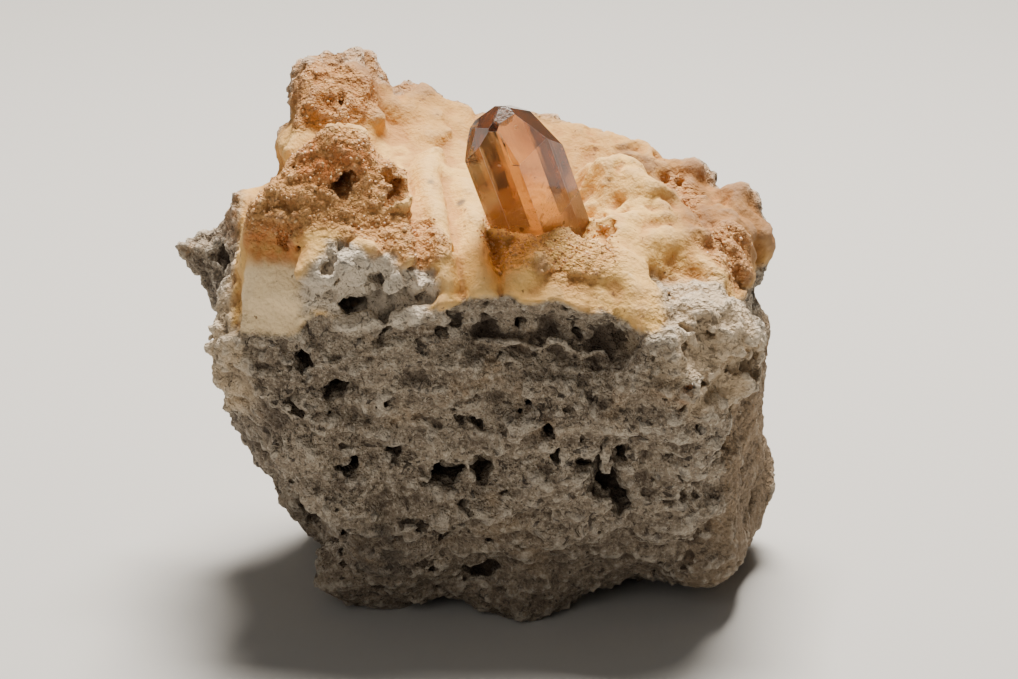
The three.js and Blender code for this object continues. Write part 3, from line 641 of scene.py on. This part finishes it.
# broken rock: warm grey, in bands and crumbs of lighter and darker grey
bent = swirl(p, 3, 1, 1.0)
bands = clouds(bent, 2.4, 2, 3.0, stretch=(3, 3, 0.6))
speckle = clouds(p, 0.55, 3, 3.0)
grey = mixed(tree, bands.ramp(-0.5, 0.6), srgb(126, 111, 93), srgb(176, 160, 138))
grey = mixed(tree, speckle.ramp(0.0, 0.4) * 0.6, grey, srgb(204, 190, 168))
grey = mixed(tree, speckle.ramp(-0.08, -0.4) * 0.6, grey, srgb(84, 72, 60))
fleck = clouds(p, 0.22, 21, 2.0)
grey = mixed(tree, fleck.ramp(0.1, 0.35) * 0.5, grey, srgb(214, 204, 186))
grey = mixed(tree, fleck.ramp(-0.12, -0.35) * 0.5, grey, srgb(62, 52, 42))
torn = swirl(swirl(p, 2.0, 17, 1.5), 0.5, 15, 0.6)
wide = cells(torn, 1.15, 16, "Color").axes()[0].ramp(0.35, 1.0) * 0.36
fine = cells(torn, 0.55, 18, "Color").axes()[0].ramp(0.3, 1.0) * 0.40
pores = either((wide - cells(torn, 1.15, 16)).ramp(0.0, 0.06),
               (fine - cells(torn, 0.55, 18)).ramp(0.0, 0.06) * 0.85)
grey = mixed(tree, flank * 0.8, grey, srgb(152, 128, 98))
# painted shade: the pores brown-black inside, less so on the smooth flank
grey = mixed(tree, pores * (1 - flank * 0.6) * 0.85, grey, srgb(54, 44, 36))
# painted shade: the broken rock darker where its surface dips in
grey = mixed(tree, edge.ramp(-0.02, -0.26) * 0.6, grey, srgb(84, 70, 56))
tan = clouds(p, 5.0, 4, 2.0).ramp(0.1, 0.6) * 0.45
grey = mixed(tree, tan, grey, srgb(172, 140, 100))
grey = mixed(tree, crust * (0.8 - pores * 0.4), grey, srgb(220, 196, 162))
# the pale bulge, and painted light: a pale stroke along the ledge under it, where light catches it
ledge = stroke(p, (-11.5, -17.2, 31.2), (-2.5, -17.6, 32.0), 1.3).ramp(0.1, 0.6) * 0.7
grey = mixed(tree, either(bulge, ledge) * (0.72 - pores * 0.5), grey, srgb(240, 224, 200))
# painted shade: the broken rock darker towards the bottom of the lump
grey = mixed(tree, z.ramp(17, 3) * 0.4, grey, srgb(92, 80, 66))

# the lining: cream, stained orange and tan in streaks that run down it, with small dark specks
streaks = clouds(swirl(p, 4, 5, 1.2), 1.6, 5, 3.0, stretch=(1, 4, 4))
cream = mixed(tree, streaks.ramp(-0.1, 0.6) * 0.8, srgb(232, 186, 106), srgb(200, 146, 80))
cream = mixed(tree, clouds(p, 6.0, 6, 2.0).ramp(0.0, 0.6) * 0.6, cream, srgb(214, 158, 92))
cream = mixed(tree, clouds(p, 0.5, 7, 2.0).ramp(0.2, 0.6) * 0.5, cream, srgb(244, 208, 144))
far_rim = either(x.ramp(15, 20) * z.ramp(27, 31) * y.ramp(-9, -4), z.ramp(41, 44) * y.ramp(-2, 2))
cream = mixed(tree, y.ramp(0, 8) * 0.7, cream, srgb(186, 136, 72))
cream = mixed(tree, far_rim * clouds(p, 3.0, 19, 2.0).ramp(-0.9, 0.0) * 0.9, cream, srgb(138, 94, 52))
# painted shade: the lining darker orange in its hollows and creases
cream = mixed(tree, edge.ramp(0.02, -0.22) * 0.7, cream, srgb(178, 124, 68))
# the pale facet: partly its own pale colour and partly painted light, raised because the lamps miss it
facet = patch(swirl(p, 1.5, 25, 0.8), (-17.6, -15.4, 31.2), (4.4, 3.4, 4.4), 0.2)
cream = mixed(tree, facet * 0.9, cream, srgb(252, 226, 180))
dots = cells(swirl(p, 0.4, 22, 0.35), 1.3, 8) - cells(p, 1.3, 8, "Color").axes()[0] * 0.16
cream = mixed(tree, dots.ramp(0.04, 0.0) * 0.8, cream, srgb(120, 84, 52))
cream = mixed(tree, clouds(p, 0.25, 23, 2.0).ramp(0.08, 0.35) * 0.22, cream, srgb(176, 128, 76))

# the sugary crust: orange-brown grains
crease = either(
    stroke(p, (13.8, 10.5, 37.1), (17.8, 8.7, 34.7), 1.8),
    stroke(p, (17.8, 8.7, 34.7), (21.3, -1.5, 32.8), 2.4),
    stroke(p, (21.3, -1.5, 32.8), (23.6, -3.0, 30.0), 2.6),
).ramp(0.1, 0.6) * clouds(p, 1.6, 24, 3.0).ramp(-0.6, 0.2)
cream = mixed(tree, crease * 0.9, cream, srgb(128, 92, 58))
flecks = either(patch(p, (-3.7, -5.8, 38.6), (0.4, 0.4, 1.4), 0.4),
                patch(p, (-1.0, -6.1, 37.2), (0.45, 0.5, 1.4), 0.4))
cream = mixed(tree, flecks * 0.8, cream, srgb(92, 82, 76))
nub = patch(p, (5.9, -14.9, 35.0), (0.8, 1.2, 1.0), 0.3)
cream = mixed(tree, nub * 0.7, cream, srgb(160, 118, 76))
brown = mixed(tree, clouds(p, 0.7, 9, 3.0).ramp(-0.5, 0.6), srgb(170, 112, 60), srgb(222, 168, 106))
mound = patch(p, (5.0, -12.5, 35.0), (7.0, 5.0, 3.5), 0.5)

colour = mixed(tree, broken, cream, grey)
colour = mixed(tree, sugar * (0.85 - mound * 0.6), colour, brown)
rim = z.ramp(30, 36) * y.ramp(-8, -2) * broken
colour = mixed(tree, rim * clouds(p, 2.5, 13, 3.0).ramp(-0.6, 0.2) * 0.85, colour, srgb(186, 136, 84))
rust = either(patch(p, (-17.5, -14.0, 36.6), (3.4, 4.0, 1.7), 0.5),
              patch(p, (-12.0, -12.0, 43.4), (3.6, 4.0, 1.8), 0.5),
              patch(p, (18.2, -17.0, 24.5), (1.1, 2.0, 1.1), 0.4))
colour = mixed(tree, rust * clouds(p, 1.0, 10, 2.0).ramp(-0.6, 0.3) * 0.85, colour, srgb(200, 118, 54))
# paler on what stands out, and painted shade, brown-black, deep in the holes
colour = mixed(tree, edge.ramp(0.05, 0.3) * (broken * 0.27 + 0.08), colour, srgb(232, 222, 204))
colour = mixed(tree, deep.ramp(0.7, 2.0) * broken * 0.8, colour, srgb(64, 50, 38))
# painted shade: a dark line down the crack on the left
crack = stroke(p, (-20.3, -15.0, 35.8), (-20.1, -15.4, 28.6), 0.35).ramp(0.2, 0.7)
colour = mixed(tree, crack * 0.8, colour, srgb(60, 44, 34))
# painted shade in a broad shallow hollow low on the front, darker in patches
hollow_shade = patch(p, (-8.6, -15.0, 7.6), (3.6, 5.0, 4.2), 0.4) * clouds(p, 1.5, 20, 2.0).ramp(-0.5, 0.3)
colour = mixed(tree, hollow_shade * 0.6, colour, srgb(62, 56, 50))
tree.links.new(colour.socket, shader.inputs["Base Color"])
shader.inputs["Roughness"].default_value = 0.88

# grain too fine to model
rough = either(broken, sugar, crust)
grit = clouds(p, 0.5, 11, 3.0) * (rough * 1.1 + 0.3)
grit = grit - pores * broken * 0.9
inputs = {"Height": grit, "Strength": 1.0, "Distance": 0.00036}
bump = node(tree, "ShaderNodeBump", inputs)
tree.links.new(bump.socket, shader.inputs["Normal"])

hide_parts("rhyolite_matrix")
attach(rock, "root")


# ---------------------------------------------------------------- topaz crystal
# One see-through sherry-brown topaz prism with a roof-shaped tip, grown out of the mound. It is
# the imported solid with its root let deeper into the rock, a notch and some small faces more,
# finely bevelled edges, an etched tip and faint striae along its length.

work = form_of("topaz_crystal")
bmesh.ops.dissolve_limit(work, angle_limit=0.01, verts=work.verts, edges=work.edges)
for vert in work.verts:
    if (vert.co - FOOT).dot(AXIS) < -2.0:
        vert.co -= AXIS * 4


def ground_off(work, a, b, c):
    """The crystal cut along the plane through three points. What lies outside it goes."""
    a, b, c = Vector(a), Vector(b), Vector(c)
    normal = (b - a).cross(c - a).normalized()
    middle = sum((vert.co for vert in work.verts), Vector()) / len(work.verts)
    if normal.dot(middle - a) > 0:
        normal = -normal
    geometry = work.verts[:] + work.edges[:] + work.faces[:]
    bmesh.ops.bisect_plane(work, geom=geometry, plane_co=a, plane_no=normal, clear_outer=True)
    bmesh.ops.holes_fill(work, edges=[edge for edge in work.edges if edge.is_boundary])


NOTCH_END = Vector((4.05, -14.94, 44.0))  # where the notch in the front edge ends
NOTCH_TOP = Vector((3.02, -16.81, 47.5))
# the hazy face to the right of the tip, and the etched tip itself
ground_off(work, NOTCH_END, (6.36, -13.32, 45.99), (3.02, -16.1, 48.96))
ground_off(work, (2.62, -15.1, 49.42), (2.0, -16.3, 48.5), (3.1, -16.75, 48.0))
body = helper("topaz_prism", work)

notch = bmesh.new()
section = [Vector((0.25, -0.88, -0.39)) * 0.6, Vector((-0.82, 0.38, 0.03)) * 0.85,
           Vector((0.66, 0.62, 0.2)) * 0.12]
ends = [[notch.verts.new(end + corner) for corner in section] for end in (NOTCH_END, NOTCH_TOP)]
for i in range(3):
    notch.faces.new((ends[0][i], ends[0][i - 1], ends[1][i - 1], ends[1][i]))
notch.faces.new(ends[0])
notch.faces.new(ends[1])
notch = helper("notch", notch)

topaz = bpy.data.materials.new("topaz")
tree, given = new_tree("topaz growth", Notch="Object")
cut = tree.nodes.new("GeometryNodeMeshBoolean")
cut.operation = "DIFFERENCE"
cut.solver = "EXACT"
tree.links.new(given["Geometry"].socket, cut.inputs["Mesh 1"])
tree.links.new(object_mesh(tree, given["Notch"]).socket, cut.inputs["Mesh 2"])
end_tree(tree, Wire(cut.outputs[0]), topaz)
crystal = run_tree(body, tree, "topaz_prism", Notch=notch)
for spare in (body, notch):
    bpy.data.objects.remove(spare)
crystal.name = "topaz_prism"

BEVEL = 0.05  # mm
work = bmesh.new()
work.from_mesh(crystal.data)
bmesh.ops.remove_doubles(work, verts=work.verts, dist=0.004)
bmesh.ops.dissolve_limit(work, angle_limit=0.01, verts=work.verts, edges=work.edges)
sharp = [edge for edge in work.edges if edge.calc_face_angle(0) > 0.12 and edge.calc_length() > 0.12]
bmesh.ops.bevel(work, geom=sharp, offset=BEVEL, segments=1, affect="EDGES", clamp_overlap=True)
bmesh.ops.triangulate(work, faces=work.faces)
bmesh.ops.subdivide_edges(work, edges=work.edges, cuts=1)
bmesh.ops.triangulate(work, faces=work.faces)
bmesh.ops.scale(work, vec=(MM,) * 3, verts=work.verts)
work.to_mesh(crystal.data)
work.free()

topaz.use_nodes = True
tree = topaz.node_tree
shader = tree.nodes["Principled BSDF"]
shader.inputs["Transmission Weight"].default_value = 0.95
shader.inputs["IOR"].default_value = 1.62
absorb = tree.nodes.new("ShaderNodeVolumeAbsorption")
absorb.inputs["Color"].default_value = (0.58, 0.36, 0.03, 1)
absorb.inputs["Density"].default_value = 145
tree.links.new(absorb.outputs[0], tree.nodes["Material Output"].inputs["Volume"])

p = node(tree, "ShaderNodeTexCoord", {}, "Object").vector("MULTIPLY", (1 / MM,) * 3)
side = AXIS.cross(Vector((0, 0, 1))).normalized()
across = p.vector("DOT_PRODUCT", side, "Value")
through = p.vector("DOT_PRODUCT", side.cross(AXIS), "Value")
along = p.vector("SUBTRACT", FOOT).vector("DOT_PRODUCT", AXIS, "Value")
in_line = node(tree, "ShaderNodeCombineXYZ", {0: across, 1: through, 2: along})
striae = clouds(in_line, 0.35, 31, 2.0, stretch=(1, 1, 40))
etched = either(
    patch(p, (2.7, -16.1, 48.8), (0.95, 1.05, 0.85), 0.15),
    stroke(p, (-0.7, -12.7, 43.4), (0.1, -13.4, 46.6), 0.6).ramp(0.15, 0.5),
)
cloudy = (along + clouds(p, 1.4, 32, 2.0) * 1.2).ramp(0.9, 0.0)
hazy = stroke(p, (3.6, -15.6, 46.2), (5.0, -14.4, 46.6), 2.0).ramp(0.2, 0.5)
hazy = hazy * clouds(p, 0.5, 33, 3.0).ramp(-0.1, 0.5)
chips = cells(p, 1.9, 34).ramp(0.10, 0.07)
dull = clouds(p, 4.0, 36, 1.0).ramp(-0.3, 0.5)
rough = 0.015 + dull * 0.07 + etched * 0.5 + cloudy * 0.35 + hazy * 0.12 + chips * 0.3
tree.links.new(rough.socket, shader.inputs["Roughness"])
# dark specks where the hazy face meets the prism, and rusty ones sealed in at the foot
specks = cells(swirl(p, 0.5, 37, 0.4), 0.34, 38).ramp(0.34, 0.2)
specks = specks * stroke(p, NOTCH_END, (6.36, -13.32, 45.99), 0.32).ramp(0.1, 0.6)
foot_specks = cells(swirl(p, 0.8, 39, 0.5), 1.5, 40).ramp(0.26, 0.16) * along.ramp(3.2, 1.4)
tint = mixed(tree, either(specks, foot_specks) * 0.85, (0.78, 0.55, 0.35, 1), (0.12, 0.04, 0.015, 1))
tree.links.new(tint.socket, shader.inputs["Base Color"])
growth_step = stroke(p, (2.3, -14.6, 41.9), (3.35, -12.4, 38.6), 0.16)
relief = (striae * 0.02 + growth_step * 0.25
          + clouds(p, 0.28, 35, 2.0) * (etched * 0.9 + cloudy * 0.3 + hazy * 0.05) - chips * 0.1)
bump = node(tree, "ShaderNodeBump", {"Height": relief, "Strength": 0.6, "Distance": 0.0002})
tree.links.new(bump.socket, shader.inputs["Normal"])

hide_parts("topaz_crystal")
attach(crystal, "root")


# ---------------------------------------------------------------- sugary grains
# Small tan quartz grains that crust the shoulder, the mound and the ridge of the lump, and close
# up round the foot of the crystal. Each has grown on to the rock where it sits.

GRAINS = 5.0  # to a mm², thinned in the sugary crust and closer set in a ring round the crystal
quartz = bpy.data.materials.new("tan_quartz")
tree, given = new_tree("sugary grains", Density="Float", Small="Float", Large="Float", Seed="Int")
seed = given["Seed"]
rock_mm = scaled_by(tree, given["Geometry"], 1 / MM)
p = place(tree)
broken, sugar, crust, bulge, flank = regions(p)
ring = patch(p, (6.0, -9.2, 35.8), (6.3, 6.0, 2.8), 0.12)
lit = sugar.ramp(0.5, 0.9) * (1 - broken)
far = p.axes()[1].ramp(-3, 3)
density = either(lit * (0.8 - far * 0.5), ring * 1.3) * given["Density"]
inputs = {"Mesh": rock_mm, "Density": density, "Seed": seed}
spots = node(tree, "GeometryNodeDistributePointsOnFaces", inputs)
size = chance(tree, 0.0, 1.0, 51).math("POWER", 2.5) * (given["Large"] - given["Small"])
size = size + given["Small"]
grain = node(tree, "GeometryNodeMeshIcoSphere", {"Radius": 1.0, "Subdivisions": 1})
inputs = {
    "Points": spots,
    "Instance": grain,
    "Rotation": chance(tree, (0.0, 0.0, 0.0), (6.28, 6.28, 6.28), 52),
    "Scale": chance(tree, (0.7, 0.7, 0.7), (1.3, 1.3, 1.3), 53).vector("MULTIPLY", size),
}
grown = node(tree, "GeometryNodeInstanceOnPoints", inputs)
end_tree(tree, scaled_by(tree, grown, MM), quartz)
grains = run_tree(rock, tree, "sugary_grains", Density=GRAINS, Small=0.06, Large=0.19, Seed=5)
grains.data.shade_flat()

quartz.use_nodes = True
tree = quartz.node_tree
shader = tree.nodes["Principled BSDF"]
p = node(tree, "ShaderNodeTexCoord", {}, "Object").vector("MULTIPLY", (1 / MM,) * 3)
tint = mixed(tree, cells(p, 0.6, 61, "Color").axes()[0], srgb(190, 134, 78), srgb(228, 190, 138))
tree.links.new(tint.socket, shader.inputs["Base Color"])
shader.inputs["Roughness"].default_value = 0.4

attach(grains, "root")


# ---------------------------------------------------------------- floor, light and camera
FLOOR_SIZE = 3.0
floor_mesh = bpy.data.meshes.new("floor")
half = FLOOR_SIZE / 2
floor_mesh.from_pydata(
    [(-half, -half, 0), (half, -half, 0), (half, half, 0), (-half, half, 0)], [], [(0, 1, 2, 3)])
floor = bpy.data.objects.new("floor", floor_mesh)
floor.location.z = -0.00002
scene.collection.objects.link(floor)
paper = bpy.data.materials.new("pale_paper")
paper.use_nodes = True
paper.node_tree.nodes["Principled BSDF"].inputs["Base Color"].default_value = (0.55, 0.545, 0.53, 1)
paper.node_tree.nodes["Principled BSDF"].inputs["Roughness"].default_value = 0.9
floor.data.materials.append(paper)

world = bpy.data.worlds.new("studio")
world.use_nodes = True
world.node_tree.nodes["Background"].inputs["Color"].default_value = (0.96, 0.93, 0.89, 1)
world.node_tree.nodes["Background"].inputs["Strength"].default_value = 0.08
scene.world = world


def area_light(name, place, target, size, power, colour):
    """A soft square light that looks at a point."""
    data = bpy.data.lights.new(name, "AREA")
    data.size = size
    data.energy = power
    data.color = colour
    light = bpy.data.objects.new(name, data)
    light.location = place
    light.rotation_mode = "QUATERNION"
    light.rotation_quaternion = (Vector(target) - Vector(place)).to_track_quat("-Z", "Y")
    scene.collection.objects.link(light)


area_light("key", (0.03, 0.12, 0.36), (0, 0, 0.03), 0.17, 4.7, (1.0, 0.93, 0.84))
area_light("fill", (-0.14, -0.38, 0.24), (0, 0, 0.025), 0.25, 0.30, (1.0, 0.94, 0.87))

ELEVATION = radians(20)
RIGHT = Vector((1, 0, 0))
UP = Vector((0, sin(ELEVATION), cos(ELEVATION)))
BACK = Vector((0, -cos(ELEVATION), sin(ELEVATION)))
DISTANCE = 0.350
PIXELS_TO_MM = 11.5  # how large the lump stands in the frame
FRAME_WIDTH = 1018  # pixels
AIM = Vector((0.48, 0.07, 0)) * MM + (RIGHT * 2.70 + UP * 21.4 + BACK * 22.65) * MM
lens = bpy.data.cameras.new("camera")
lens.sensor_width = 36
lens.lens = lens.sensor_width * PIXELS_TO_MM * DISTANCE / MM / FRAME_WIDTH
camera = bpy.data.objects.new("camera", lens)
camera.location = AIM + BACK * DISTANCE
camera.rotation_mode = "QUATERNION"
camera.rotation_quaternion = BACK.to_track_quat("Z", "Y")
scene.collection.objects.link(camera)
scene.camera = camera
